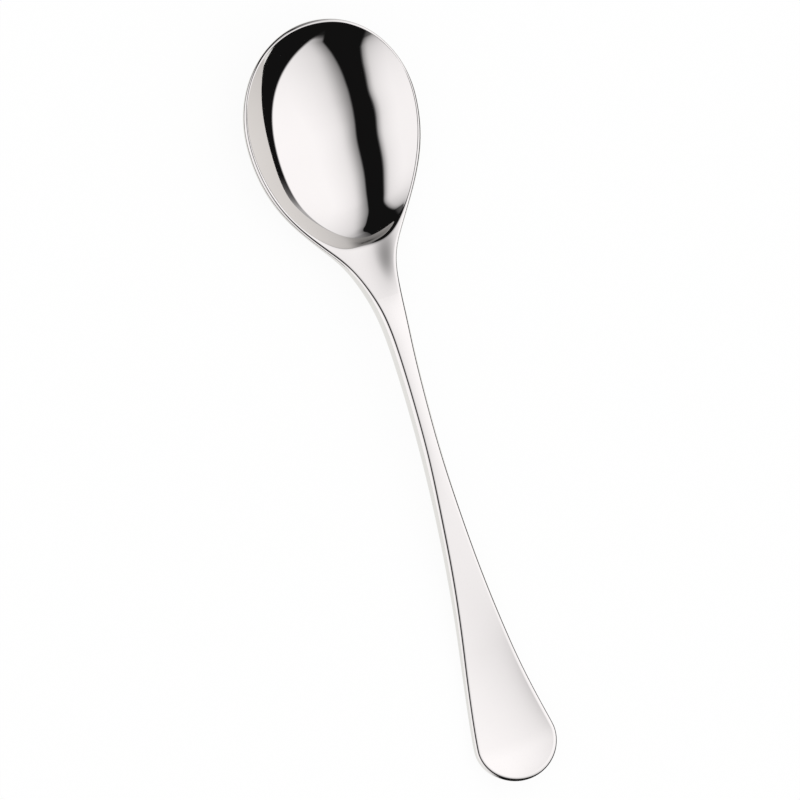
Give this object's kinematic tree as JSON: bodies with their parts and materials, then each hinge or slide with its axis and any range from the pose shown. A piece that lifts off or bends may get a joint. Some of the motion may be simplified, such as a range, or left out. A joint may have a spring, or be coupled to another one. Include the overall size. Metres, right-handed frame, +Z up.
{
  "type": "serving spoon",
  "caption": "Polished steel serving spoon with a broad egg-shaped bowl, a slim arched stem and a flared, round-ended handle.",
  "frame": {"origin": "on the table, below the middle of the spoon's length and width", "axes": "+Y along the spoon from the handle towards the tip of the bowl, +X across it, +Z up out of the bowl"},
  "size_m": [0.06, 0.25, 0.0202],
  "materials": {
    "bowl_steel": "mirror-polished stainless steel",
    "handle_steel": "mirror-polished stainless steel"
  },
  "bodies": {
    "root": {"bowl": "bowl_steel", "handle": "handle_steel"}
  },
  "joints": []
}
